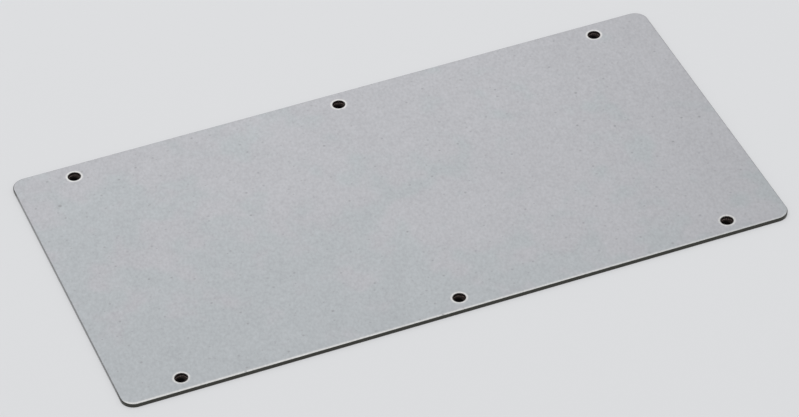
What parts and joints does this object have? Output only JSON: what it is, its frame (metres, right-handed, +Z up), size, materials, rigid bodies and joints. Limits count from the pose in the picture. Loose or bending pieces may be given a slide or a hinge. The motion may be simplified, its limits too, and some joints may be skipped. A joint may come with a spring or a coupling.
{
  "type": "blanking plate",
  "caption": "Flat rectangular sheet-steel plate with rounded corners and screw holes along both long edges, to close an opening in a panel or housing.",
  "frame": {"origin": "middle of the underside", "axes": "+X along the length, +Y to the far long edge, +Z up to the outer face"},
  "size_m": [0.25, 0.13, 0.0015],
  "materials": {
    "zinc_coated_steel": "matte"
  },
  "bodies": {
    "root": {"blanking_plate": "zinc_coated_steel"}
  },
  "joints": []
}
